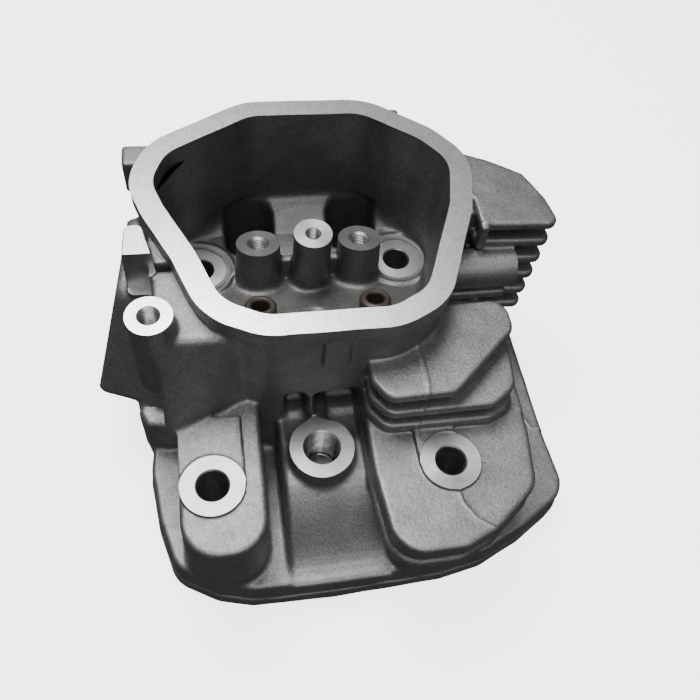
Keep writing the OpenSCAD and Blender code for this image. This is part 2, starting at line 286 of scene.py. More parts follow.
class Field:
    """The casting as a distance field that shapes are added to and cut from."""

    def __init__(self, low, high):
        self.low = low
        self.axes = [
            np.arange(a, b, STEP, dtype=np.float32) for a, b in zip(low, high)
        ]
        self.d = np.full([len(a) for a in self.axes], FAR, np.float32)

    def window(self, low, high, margin):
        """The part of the grid round a box, with its coordinates."""
        cuts = []
        for axis, a, b in zip(self.axes, low, high):
            i = np.searchsorted(axis, a - margin)
            j = np.searchsorted(axis, b + margin)
            cuts.append(slice(i, max(j, i)))
        x, y, z = [axis[c] for axis, c in zip(self.axes, cuts)]
        return tuple(cuts), x[:, None, None], y[None, :, None], z[None, None, :]

    def add(self, thing, k=0.0):
        w, x, y, z = self.window(thing.low, thing.high, k + FAR)
        self.d[w] = smooth_min(self.d[w], thing(x, y, z), k)

    def cut(self, thing, k=0.0):
        w, x, y, z = self.window(thing.low, thing.high, k + FAR)
        self.d[w] = -smooth_min(-self.d[w], thing(x, y, z), k)

    def seam(self, path, z0, z1, height=0.3, width=0.5):
        """A fine parting line, raised or sunk, on a path seen from above."""
        low = [min(p[i] for p in path) - 2 for i in (0, 1)] + [z0]
        high = [max(p[i] for p in path) + 2 for i in (0, 1)] + [z1]
        w, x, y, z = self.window(low, high, 0)
        near = np.full((x.size, y.size, 1), 99.0, np.float32)
        for (ax, ay), (bx, by) in zip(path, path[1:]):
            ex, ey = bx - ax, by - ay
            t = np.clip(((x - ax) * ex + (y - ay) * ey) / (ex * ex + ey * ey), 0, 1)
            near = np.minimum(near, np.hypot(x - ax - ex * t, y - ay - ey * t))
        self.d[w] -= height * np.exp(-((near / width) ** 2))

    def sway(self, size):
        """A slow, slight unevenness, as cast surfaces have."""
        x, y, z = np.meshgrid(*self.axes, indexing="ij", sparse=True)
        self.d += size * np.sin(x * 0.31 + 1.7 * np.sin(y * 0.13)) * np.cos(
            y * 0.27 + 1.3 * np.sin(z * 0.19)
        )
        self.d += size * 0.6 * np.sin(z * 0.43 + 1.1 * np.sin(x * 0.21))

    def mesh(self, name):
        """The field's surface as quads, in metres."""
        band = 3 * STEP
        grid = openvdb.FloatGrid(band)
        grid.copyFromArray(np.clip(self.d, -band, band))
        pts, quads = grid.convertToQuads(0.0)
        pts = (pts * STEP + np.array(self.low)) * MM
        me = bpy.data.meshes.new(name)
        me.vertices.add(len(pts))
        me.vertices.foreach_set("co", pts.astype(np.float32).ravel())
        me.loops.add(quads.size)
        me.loops.foreach_set("vertex_index", quads.astype(np.int32).ravel())
        me.polygons.add(len(quads))
        me.polygons.foreach_set(
            "loop_start", np.arange(0, quads.size, 4, dtype=np.int32)
        )
        me.update(calc_edges=True)
        me.validate()
        return me


# --------------------------------------------------------- the cast shape
def valve_point(kind, s):
    """A point on a valve's axis, s mm above its seat face."""
    base = Vector((VALVE_X[kind], VALVE_Y, VALVE_Z))
    return base + LEAN_AXIS * s


def floor_at(y):
    """Height of the rocker box's sloping floor."""
    return FLOOR - 3 + (50 - y) * math.tan(LEAN)


COVER = outline(COVER_PLAN, COVER_R)
WALL = outline(COVER_PLAN, COVER_R, -OVERHANG)
HOLLOW = outline(COVER_PLAN, COVER_R, -RIM_W - 1.16)


def cast_shape():
    """The raw casting, before any face or hole is machined."""
    c = Field((-102, -86, -5), (103, 97, 103))
    c.add(plate(outline(DECK_PLAN, 14), -2, DECK_RIM, 0.7))
    c.add(plate(outline(DECK_PLAN, 14, -1), -2, DECK, 1.8, 0.01), 0.6)
    c.add(plate(WALL, 10, TOP - RIM_H + 2), 3.5)
    c.add(plate(COVER, TOP - RIM_H, TOP + STOCK, 0.7), 1.2)
    c.add(block((-2, -21.6, 76), (7, -16, TOP - 5), 0.6), 1.0)

    # Ramp and plug seat between the front pads, with a split pocket behind
    slope = [(-8, 10), (-78, 10), (-78, 16.6)]
    for i in range(13):
        u = i / 12
        ease = u * u * (3 - 2 * u)
        slope.append((-77 + 33 * u, 17 + 21.5 * ease))
    slope.append((-8, 38.5))
    c.add(section(slope, -17, 22, 2.4), 2.4)
    c.cut(block((-14, -29, 38.5), (-4.6, -9.5, 55.5), 2.5), 4.0)
    c.cut(block((0.6, -29, 38.5), (14.6, -9.5, 55.5), 2.5), 4.0)
    c.cut(block((-12, -14, 40), (12.6, -8, 50), 2.5), 1.5)
    rib = [(x, y, z) for x in (-3.2, -0.8) for y, z in (
        (-27, 30), (-27, 41), (-17, 56), (-8, 62), (-8, 30))]
    c.add(hull(rib, 0.8), 7.0)
    c.add(rod((*PLUG, 14), (*PLUG, PLUG_Z + STOCK), PLUG_RING, 0.3), 2.5)

    # Left front pad with its keyhole seat
    c.add(plate(outline(LEFT_PAD, 13.5), 10, PAD, 1.8, 0.006), 2.5)
    x, y = LEFT_FRONT
    c.add(rod((x, y, 30), (x, y, SEAT + STOCK), SPOT_R, 0.3), 0.6)
    c.add(block((x - 11.2, y, 30), (x + 11.2, -24, SEAT + 0.5), 0.5), 0.6)
    c.add(plate(outline(LEFT_FOOT, 3), 10, 36, 2.5), 2.5)

    # Right front pad: a slab on a waist, with one fin round its side
    c.add(plate(outline(RIGHT_PAD, 12, -4), 10, 50, 1.0), 2.5)
    c.add(plate(outline(RIGHT_PAD, 12, 0.6), 35.5, 40, 1.8), 1.2)
    c.add(plate(outline(RIGHT_PAD, 12, -1.4), 38, 46, 1.0), 1.2)
    c.add(plate(outline(RIGHT_PAD, 12), 43, PAD, 1.8), 1.2)
    x, y = RIGHT_FRONT
    c.add(rod((x, y, 30), (x, y, SEAT + STOCK), SPOT_R, 0.3), 0.6)
    c.add(block((x - 11.2, y, 30), (x + 4, -30, SEAT + 0.5), 0.5), 0.6)
    c.add(block((64, -33, DECK - 3), (OUTLET_X + STOCK, 20, PAD), 1.5), 2.0)

    # Intake duct with its flange on the left
    low_side = Matrix.Rotation(math.radians(-23.6), 3, "Z") @ Matrix.Rotation(
        math.radians(-23.3), 3, "X"
    ) @ Vector((0, -1, 0))
    sides = [
        (FACE_N, FACE_AT + FACE_N * STOCK), (low_side, FACE_AT),
        ((0, 0, -1), (0, 0, 35)), ((0, 1, 0), (0, 51, 0)),
        ((0, 0, 1), (0, 0, 80)),
    ]
    c.add(planes(sides, (-95, -20, 35), (-35, 51, 80), 4.0), 2.5)

    # Ledge beside the rocker box, with its boss and lug
    foot = [(-57, -31), (-49, -27.5), (-38, -22.5), (-29, -17), (-29, 14), (-57, 14)]
    ledge = [(*p, 50.5) for p in foot] + [
        (x, y, 89.4) for x in (-57.6, -27.6) for y in (-14.8, 15.7)
    ]
    c.add(hull(ledge, 2.5), 2.5)
    c.add(block((-58.4, 17.5, 80.5), (-48, 32.5, 90.5), 0.8), 1.2)
    c.add(rod((*SIDE_BOSS, 62), (*SIDE_BOSS, TOP + STOCK), 7.55, 0.3), 2.5)
    c.add(plate(outline(FACET, 2.5), 60, TOP + STOCK, 2.6), 1.2)

    # Cooling fins on the right
    for top, plan in zip(FRONT_FIN_TOPS, FIN_PLANS):
        c.add(plate(outline(plan, 7), top - FIN_T, top, 1.5), 1.6)
    core = [(19, -1), (19, -27), (46, -27), (60, -12), (60, -1)]
    c.add(plate(outline(core, 6), 48, 75), 1.6)
    for z in REAR_FIN_Z:
        c.add(plate(outline(REAR_FIN, 4), z - FIN_T / 2, z + FIN_T / 2, 1.7), 1.6)
    core = [(50, 40), (68, 38), (78, 46), (72, 62), (50, 72)]
    c.add(plate(outline(core, 5), 12, REAR_FIN_Z[-1]), 1.6)
    z = REAR_FIN_Z[2]
    c.add(block((57, 20.5, z - 2.2), (82, 34.5, z + 2.2), 1.5), 1.2)
    c.add(block((66, 28.5, 75), (69.4, 32.5, 87), 1.0), 1.2)
    x, y, z = OUTLET_BOSS
    c.add(rod((50, y, z), (x + STOCK, y, z), 8.0, 0.6), 3.0)

    # Rear lugs
    c.add(block((-67.5, 66, 76), (-51.5, 76.5, 91), 1.4), 1.6)
    c.add(block((31, 70, 60), (44.5, 94, 91), 1.4), 1.6)

    # Hollow of the rocker box over its sloping floor
    floor = [
        (-90, 130), (-90, floor_at(-90)), (46, floor_at(46)), (51, FLOOR),
        (68, FLOOR), (80, FLOOR + 7), (130, FLOOR + 7), (130, 130),
    ]
    above = section(floor, -90, 90)
    c.cut(meet(plate(HOLLOW, 40, 110, 0, -0.02), above, 5.0), 0)
    for x, y in (LEFT_REAR, RIGHT_REAR):
        c.add(rod((x, y, 30), (x, y, FLOOR + 0.7), 14.2, 0.5), 2.0)
        c.cut(rod((x, y, FLOOR + 0.6), (x, y, 60), 12.9, 1.0), 1.2)
    for kind in VALVE_X:
        a, b = valve_point(kind, SPRING_S - 12), valve_point(kind, SPRING_S + 1)
        c.add(rod(a, b, SPRING_R, 0.3), 3.0)
        top = Vector(STUDS[kind])
        c.add(rod(top - LEAN_AXIS * 24, top + LEAN_AXIS, STUD_BOSS_R, 0.5, 0.012), 3.2)
    x, y, z = COVER_BOSS
    c.add(rod((x, y, 40), (x, y, z + 1), 7.9, 0.4, 0.008), 3.2)
    c.add(block((-14, 44.7, 42), (20, 48.3, 55), 1.0), 1.8)
    c.cut(rod((3, 20.5, 48.6), (3, 20.5, 60), 2.2, 1.0), 3.0)

    # Openings through the casting
    for x in (-30.5, 14.5):
        way = [(x, 58), (x + 21, 58), (x + 21, 81), (x, 81)]
        c.cut(plate(outline(way, 6), -9, 56), 2.0)
    roof = planes(
        [(LEAN_AXIS, (0, VALVE_Y, VALVE_Z))], (-60, -60, -6), (60, 60, 17), 0
    )
    c.cut(meet(rod((0, 0, -8), (0, 0, 16), CHAMBER_R), roof, 2.0), 1.0)
    tilt = Matrix.Rotation(-LEAN, 3, "X")
    start = Vector((0, 50, FLOOR))
    way = []
    for n, p in (
        ((-1, 0, 0), (-4, 0, 0)), ((1, 0, 0), (8.5, 0, 0)),
        ((0, 0, -1), (0, 0, -17)), ((0, 0, 1), (0, 0, -5)),
    ):
        way.append((tilt @ Vector(n), start + tilt @ Vector(p)))
    c.cut(planes(way, (-4, -28, 12), (8.5, 100, 62), 3.0), 1.0)
    c.cut(rod((-19, -3, 21.5), (-97.9, 37.8, 70), 11), 1.5)
    c.cut(rod((22.5, -2.5, 25.5), (96, -8, 42), 9.5), 1.5)
    for kind, x in VALVE_X.items():
        c.cut(rod(valve_point(kind, -9), valve_point(kind, 19), THROAT[kind] - 2), 2.0)

    # Parting lines left by the moulds
    c.seam([(42.6, -58), (43.3, -65.6), (46.8, -71.7), (53.5, -76.8), (60, -82)], 17, 54)
    c.seam([(32.8, -9.3), (33.6, -23.3), (33.6, -31.7), (32, -38)], 51.5, 78)
    c.seam([(86, -12), (89.3, -16.2), (91.9, -23.2), (97, -24.6), (102, -29)], 8, 19, 0.25)
    c.seam([(-70, -50), (-57.3, -48.7)], -1, 19, -0.35, 0.4)
    c.seam([(-70, -7.5), (-52, -9.5)], 17, 37, -0.3, 0.4)
    c.sway(0.07)
    return c.mesh("casting")


# ------------------------------------------------------------- materials
def shade(name, base, metallic, roughness):
    """A node material with its shader, and the part's own coordinates."""
    m = bpy.data.materials.new(name)
    m.use_nodes = True
    t = m.node_tree
    shader = t.nodes["Principled BSDF"]
    shader.inputs["Metallic"].default_value = metallic
    shader.inputs["Roughness"].default_value = roughness
    shader.inputs["Base Color"].default_value = (*base, 1)
    where = t.nodes.new("ShaderNodeTexCoord").outputs["Object"]
    return m, t, shader, where


def noise(t, where, size, detail=3.0, rough=0.55):
    """Noise whose blotches are about size mm across."""
    n = t.nodes.new("ShaderNodeTexNoise")
    n.inputs["Scale"].default_value = 1 / (size * MM)
    n.inputs["Detail"].default_value = detail
    n.inputs["Roughness"].default_value = rough
    t.links.new(where, n.inputs["Vector"])
    return n.outputs["Fac"]


def ramp(t, value, stops):
    """A value turned into colours or greys, from (place, tone) stops."""
    r = t.nodes.new("ShaderNodeValToRGB")
    r.color_ramp.elements[0].position = stops[0][0]
    r.color_ramp.elements[1].position = stops[-1][0]
    for at, _ in stops[1:-1]:
        r.color_ramp.elements.new(at)
    for e, (_, c) in zip(r.color_ramp.elements, stops):
        e.color = (*c, 1) if len(c) == 3 else (c[0], c[0], c[0], 1)
    t.links.new(value, r.inputs["Fac"])
    return r.outputs["Color"]


def math_node(t, op, a, b=None):
    """The result of a sum on numbers or sockets."""
    n = t.nodes.new("ShaderNodeMath")
    n.operation = op
    for i, v in enumerate([a] if b is None else [a, b]):
        if isinstance(v, (int, float)):
            n.inputs[i].default_value = v
        else:
            t.links.new(v, n.inputs[i])
    return n.outputs[0]


def relief(t, shader, heights):
    """Bump from (height, strength, depth in mm) layers, one on another."""
    last = None
    for h, strength, depth in heights:
        b = t.nodes.new("ShaderNodeBump")
        b.inputs["Strength"].default_value = strength
        b.inputs["Distance"].default_value = depth * MM
        t.links.new(h, b.inputs["Height"])
        if last:
            t.links.new(last, b.inputs["Normal"])
        last = b.outputs["Normal"]
    t.links.new(last, shader.inputs["Normal"])


def mix_colour(t, kind, fac, a, b):
    """Two colours blended."""
    n = t.nodes.new("ShaderNodeMix")
    n.data_type = "RGBA"
    n.blend_type = kind
    n.inputs["Factor"].default_value = fac
    t.links.new(a, n.inputs[6])
    t.links.new(b, n.inputs[7])
    return n.outputs[2]


def radial(t, where, centre, axis):
    """Distances in metres from a turning axis, and along it."""
    def vector(op, a, b):
        n = t.nodes.new("ShaderNodeVectorMath")
        n.operation = op
        for i, v in enumerate((a, b)):
            if isinstance(v, (tuple, Vector)):
                n.inputs[i].default_value = tuple(v)
            else:
                t.links.new(v, n.inputs[i])
        return n

    centre, axis = Vector(centre) * MM, Vector(axis).normalized()
    off = vector("SUBTRACT", where, centre).outputs[0]
    along = vector("DOT_PRODUCT", off, axis).outputs["Value"]
    back = t.nodes.new("ShaderNodeVectorMath")
    back.operation = "SCALE"
    back.inputs[0].default_value = tuple(axis)
    t.links.new(along, back.inputs["Scale"])
    flat = vector("SUBTRACT", off, back.outputs[0]).outputs[0]
    length = t.nodes.new("ShaderNodeVectorMath")
    length.operation = "LENGTH"
    t.links.new(flat, length.inputs[0])
    return length.outputs["Value"], along


def cast_metal():
    """Blasted cast aluminium: fine grain, soft mottling, and painted shade inside the rocker box."""
    m, t, shader, where = shade("cast_aluminium", (0.4, 0.41, 0.4), 0.85, 0.5)
    blotch = ramp(t, noise(t, where, 9, 4), [
        (0.32, (0.27, 0.27, 0.262)), (0.52, (0.3, 0.3, 0.29)),
        (0.72, (0.33, 0.33, 0.32)),
    ])
    fine = noise(t, where, 0.7, 3, 0.75)
    grain = ramp(t, fine, [(0.38, (0.6,)), (0.6, (1.0,))])
    # Painted shade: within about 50 mm of the rocker box's middle the base colour drops to 0.62,
    # darkening the chamber as if it lay in shade.
    away, _ = radial(t, where, (2, 38, 0), (0, 0, 1))
    painted_shade = ramp(t, math_node(t, "MULTIPLY", away, 10), [(0.5, (0.62,)), (0.57, (1.0,))])
    colour = mix_colour(t, "MULTIPLY", 0.9, blotch, grain)
    t.links.new(mix_colour(t, "MULTIPLY", 1.0, colour, painted_shade), shader.inputs["Base Color"])
    uneven = math_node(t, "MULTIPLY", noise(t, where, 3, 3), 0.22)
    t.links.new(math_node(t, "ADD", uneven, 0.38), shader.inputs["Roughness"])
    relief(t, shader, [
        (noise(t, where, 1.6, 3), 0.35, 0.25), (fine, 0.8, 0.16),
    ])
    return m


def waves(t, distance, pitch, where, wander=0.15):
    """Tool marks every pitch mm of a distance, slightly uneven."""
    turn = 2 * math.pi / (pitch * MM)
    drift = math_node(t, "MULTIPLY", noise(t, where, 6, 2), wander * 12)
    phase = math_node(t, "ADD", math_node(t, "MULTIPLY", distance, turn), drift)
    return math_node(t, "SINE", phase)


def turned_metal(name, centre, axis, base=(0.43, 0.44, 0.44), pitch=0.42, rough=0.38):
    """A face cut by a turning tool, with its rings about the axis."""
    m, t, shader, where = shade(name, base, 1.0, rough)
    away, _ = radial(t, where, centre, axis)
    speck = noise(t, where, 0.35, 3, 0.7)
    dull = ramp(t, noise(t, where, 4, 3), [
        (0.35, tuple(v * 0.84 for v in base)), (0.65, base),
    ])
    spots = ramp(t, speck, [(0.3, (0.8,)), (0.5, (1.0,))])
    t.links.new(mix_colour(t, "MULTIPLY", 0.7, dull, spots), shader.inputs["Base Color"])
    relief(t, shader, [(waves(t, away, pitch, where), 0.3, 0.035), (speck, 0.2, 0.02)])
    return m


def milled_metal():
    """The cover face: a bright milled face with faint arcs and specks."""
    base = (0.93, 0.945, 0.96)
    m, t, shader, where = shade("machined_face", base, 1.0, 0.36)
    away, _ = radial(t, where, (-190, -60, 98), (0, 0, 1))
    speck = noise(t, where, 0.8, 4, 0.8)
    dull = ramp(t, noise(t, where, 7, 4), [
        (0.3, (0.84, 0.855, 0.87)), (0.7, base),
    ])
    spots = ramp(t, speck, [(0.34, (0.5,)), (0.52, (1.0,))])
    t.links.new(mix_colour(t, "MULTIPLY", 0.8, dull, spots), shader.inputs["Base Color"])
    relief(t, shader, [(waves(t, away, 0.9, where), 0.1, 0.03), (speck, 0.25, 0.03)])
    return m


def bore_metal(name, centre, axis, pitch=0.3, base=(0.5, 0.5, 0.5)):
    """The wall of a drilled hole, with marks round it."""
    m, t, shader, where = shade(name, base, 1.0, 0.38)
    _, along = radial(t, where, centre, axis)
    tone = ramp(t, noise(t, where, 2, 3), [
        (0.3, tuple(v * 0.7 for v in base)), (0.7, base),
    ])
    t.links.new(tone, shader.inputs["Base Color"])
    relief(t, shader, [(waves(t, along, pitch, where), 0.25, 0.03)])
    return m


def plain_metal(name, low, high, metallic, rough, size=0.4, bump=0.3):
    """Speckled metal between two tones, for the small pressed-in parts."""
    m, t, shader, where = shade(name, high, metallic, rough)
    fac = noise(t, where, size, 4, 0.7)
    t.links.new(ramp(t, fac, [(0.35, low), (0.65, high)]), shader.inputs["Base Color"])
    relief(t, shader, [(fac, bump, 0.04)])
    return m


CAST = cast_metal()
MILLED = milled_metal()


# ------------------------------------------------------------- machining
def aim(at, axis):
    """A matrix that takes the Z axis to an axis through a point, in mm."""
    turn = Vector((0, 0, 1)).rotation_difference(Vector(axis).normalized())
    return Matrix.Translation(Vector(at)) @ turn.to_matrix().to_4x4()


class Tool:
    """Closed solids, each with its finish, used together as one cutter."""

    def __init__(self, name):
        self.name, self.bm, self.finishes = name, bmesh.new(), []

    def grid(self, rings, place, finish):
        """A closed solid through rings of points, with end caps."""
        if finish not in self.finishes:
            self.finishes.append(finish)
        index = self.finishes.index(finish)
        rows = [[self.bm.verts.new(place @ Vector(p)) for p in r] for r in rings]
        faces = []
        n = len(rows[0])
        for a, b in zip(rows, rows[1:]):
            for i in range(n):
                j = (i + 1) % n
                faces.append(self.bm.faces.new((a[i], a[j], b[j], b[i])))
        faces.append(self.bm.faces.new(rows[0][::-1]))
        faces.append(self.bm.faces.new(rows[-1]))
        for f in faces:
            f.material_index = index

    def lathe(self, profile, at, axis, finish, n=96):
        """A solid turned from (radius, height) pairs, bottom first."""
        rings = []
        for r, h in profile:
            turn = [2 * math.pi * i / n for i in range(n)]
            rings.append([(r * math.cos(a), r * math.sin(a), h) for a in turn])
        self.grid(rings, aim(at, axis), finish)

    def prism(self, points, z0, z1, finish):
        """An outline raised straight from z0 to z1."""
        pts = points if runs_left(points) else points[::-1]
        self.grid([[(*p, z) for p in pts] for z in (z0, z1)], Matrix(), finish)

    def thread(self, at, axis, minor, major, pitch, depth, finish, n=48, lip=1.1):
        """A tapped hole: helical thread, mouth chamfer and drill point."""
        step = pitch / 8
        mouth = 3
        rings, h = [], -depth
        while h <= mouth:
            ring = []
            for i in range(n):
                f = (h / pitch - i / n) % 1
                tooth = min(max((1 - abs(2 * f - 1) - 0.15) / 0.7, 0), 1)
                fade = min(max((h + depth) / pitch, 0), 1)
                r = minor + (major - minor) * tooth * fade
                r = max(r, minor + lip + min(h, 0.3)) if h > -lip else r
                a = 2 * math.pi * i / n
                ring.append((r * math.cos(a), r * math.sin(a), h))
            rings.append(ring)
            h += step
        tip = [(x * 0.02, y * 0.02, -depth - minor * 0.5) for x, y, _ in rings[0]]
        self.grid([tip] + rings, aim(at, axis), finish)

    def build(self):
        """The tool as an object in metres."""
        me = bpy.data.meshes.new(self.name)
        self.bm.to_mesh(me)
        self.bm.free()
        me.transform(Matrix.Scale(MM, 4))
        for m in self.finishes:
            me.materials.append(m)
        o = bpy.data.objects.new(self.name, me)
        bpy.context.scene.collection.objects.link(o)
        return o


def modified(me, kind, **settings):
    """The mesh with one modifier applied."""
    o = bpy.data.objects.new("work", me)
    bpy.context.scene.collection.objects.link(o)
    mod = o.modifiers.new("work", kind)
    for key, value in settings.items():
        setattr(mod, key, value)
    graph = bpy.context.evaluated_depsgraph_get()
    out = bpy.data.meshes.new_from_object(o.evaluated_get(graph))
    bpy.data.objects.remove(o)
    return out


def boolean(me, tool, operation):
    """The mesh with a tool cut from it, or what the two share."""
    return modified(
        me, "BOOLEAN", operation=operation, object=tool,
        solver="MANIFOLD", material_mode="TRANSFER",
    )


def face_tools():
    """Every face the casting is cut back to."""
    t = Tool("face_tools")
    t.prism([(-95, -95), (105, -95), (105, 100), (-95, 100)], TOP, TOP + 9, MILLED)
    deck = turned_metal("gasket_face", (150, 20, 0), UP, (0.68, 0.69, 0.69), 1.1, 0.38)
    t.prism([(-110, -95), (110, -95), (110, 100), (-110, 100)], -9, 0, deck)
    x, y = LEFT_FRONT
    ring = turned_metal("left_seat_face", (x, y, SEAT), UP)
    t.lathe([(SPOT_R + 0.3, 0), (SPOT_R + 0.3, 4)], (x, y, SEAT), UP, ring)
    x, y = RIGHT_FRONT
    ring = turned_metal("right_seat_face", (x, y, SEAT), UP)
    t.lathe([(SPOT_R + 0.3, 0), (SPOT_R + 0.3, 4)], (x, y, SEAT), UP, ring)
    ring = turned_metal("plug_seat_face", (*PLUG, PLUG_Z), UP, (0.45, 0.46, 0.45))
    t.lathe([(PLUG_RING + 1.4, 0), (PLUG_RING + 1.4, 9)], (*PLUG, PLUG_Z), UP, ring)
    for x, y in (LEFT_REAR, RIGHT_REAR):
        side = "left" if x < 0 else "right"
        ring = turned_metal("rear_%s_seat_face" % side, (x, y, FLOOR), UP, (0.45, 0.46, 0.45))
        t.lathe([(10.8, 0), (10.8, 3)], (x, y, FLOOR), UP, ring)
    for kind in VALVE_X:
        at = valve_point(kind, SPRING_S)
        ring = turned_metal(kind + "_spring_face", at, LEAN_AXIS, (0.45, 0.46, 0.45))
        t.lathe([(SPRING_R + 0.7, 0), (SPRING_R + 0.7, 7)], at, LEAN_AXIS, ring)
        at = STUDS[kind]
        ring = turned_metal(kind + "_stud_face", at, LEAN_AXIS, (0.56, 0.56, 0.54))
        t.lathe([(10.6, 0), (10.6, 3)], at, LEAN_AXIS, ring)
    ring = turned_metal("cover_boss_face", COVER_BOSS, UP, (0.56, 0.56, 0.54))
    t.lathe([(9.4, 0), (9.4, 3)], COVER_BOSS, UP, ring)
    ring = turned_metal("outlet_boss_face", OUTLET_BOSS, RIGHTWARD)
    t.lathe([(9.5, 0), (9.5, 3)], OUTLET_BOSS, RIGHTWARD, ring)
    ring = turned_metal("exhaust_face", (OUTLET_X, 90, 30), RIGHTWARD, pitch=0.9)
    t.prism(
        [(OUTLET_X, -34.5), (79, -34.5), (79, 21.5), (OUTLET_X, 21.5)], DECK + 1, 54, ring
    )
    ring = turned_metal("intake_face", FACE_AT + Vector((0, 120, 0)), FACE_N, pitch=0.9)
    rows = []
    for off in (0, 5):
        row = []
        for y, z in ((60, 25), (-25, 25), (-25, 84), (60, 84)):
            y_part = FACE_N.y * (y - FACE_AT.y) + FACE_N.z * (z - FACE_AT.z)
            row.append(Vector((FACE_AT.x - y_part / FACE_N.x, y, z)) + FACE_N * off)
        rows.append(row)
    t.grid(rows, Matrix(), ring)
    return t.build()


def lug_tools(low):
    """The flat front of the lug: over the ledge, or beside it lower down."""
    t = Tool("lug_tools")
    side = turned_metal("lug_front_face", (-150, 15.6, 90), (0, 1, 0), (0.5, 0.5, 0.5))
    if low:
        t.prism([(-75, 3), (-75, 15.6), (-57.9, 15.6), (-57.9, 3)], 80.6, 90.2, side)
    else:
        t.prism([(-75, 3), (-75, 15.6), (-53, 15.6), (-50, 3)], 90, TOP + 5, side)
    return t.build()


def hole_tools():
    """Drilled and tapped holes."""
    t = Tool("hole_tools")
    for x, y in BOLTS:
        z = SEAT if y < 0 else FLOOR
        wall = bore_metal("bolt_bore_%d_%d" % (x, y), (x, y, 0), UP)
        r = BOLT_R
        t.lathe(
            [(r + 0.8, -2), (r + 0.8, 0), (r, 0.8), (r, z - 0.5), (r + 0.5, z),
             (r + 0.5, z + 8)],
            (x, y, 0), UP, wall, 72,
        )
    wall = bore_metal("plug_bore", (*PLUG, 0), UP, base=(0.42, 0.42, 0.42))
    t.lathe([(7.55, -3), (7.55, PLUG_Z - 19.2)], (*PLUG, 0), UP, wall, 72)
    t.thread((*PLUG, PLUG_Z), UP, *M14, 19, wall, 96, 0.6)
    for kind in VALVE_X:
        at = valve_point(kind, 0)
        wall = bore_metal(kind + "_guide_bore", at, LEAN_AXIS)
        t.lathe([(GUIDE_R, 12), (GUIDE_R, 52)], at, LEAN_AXIS, wall, 72)
        r = THROAT[kind]
        t.lathe([(r + 4.6, -16), (r + 3, -1), (r + 3, SEAT_DEEP)], at, LEAN_AXIS, wall)
        tap = bore_metal(kind + "_stud_thread", STUDS[kind], LEAN_AXIS, 0.3, (0.6, 0.6, 0.58))
        t.thread(STUDS[kind], LEAN_AXIS, *M8, 16, tap)
    tap = bore_metal("cover_thread", COVER_BOSS, UP, 0.3, (0.6, 0.6, 0.58))
    t.thread(COVER_BOSS, UP, *M6, 19, tap, 48, 0.7)
    t.thread((*SIDE_BOSS, TOP), UP, *SIDE_THREAD, 20, tap, 48, 0.6)
    t.thread(OUTLET_BOSS, RIGHTWARD, *OUTLET_THREAD, 14, tap)
    for y in (-28.4, 15.6):
        t.thread((OUTLET_X, y, 37.3), RIGHTWARD, *M8, 10, tap)
    turn = Matrix.Rotation(math.radians(-6.7), 3, "Z") @ Matrix.Rotation(
        math.radians(14.65), 3, "Y"
    )
    for p in ((0, 13.3, 7.24), (0, 45.4, 38.2)):
        t.thread(FACE_AT + turn @ Vector(p), FACE_N, *M8, 12, tap)
    return t.build()


# ------------------------------------------------- the casting, piece by piece
def expand(points, by, corner):
    """Rounded outline points moved out by an amount."""
    pts = inset(points, corner)
    out, n = [], len(pts)
    for i in range(n):
        a, b, c = Vector(pts[i - 1]), Vector(pts[i]), Vector(pts[(i + 1) % n])
        d0, d1 = (b - a).normalized(), (c - b).normalized()
        a0 = math.atan2(-d0.x, d0.y)
        sweep = math.atan2(d0.x * d1.y - d0.y * d1.x, d0.dot(d1))
        for k in range(9):
            u = a0 + sweep * k / 8
            out.append((
                b.x + (corner + by) * math.cos(u), b.y + (corner + by) * math.sin(u)
            ))
    return out


WIDE = [(-120, -120), (120, -120), (120, 120), (-120, 120)]
BOX_BOTTOM = 56


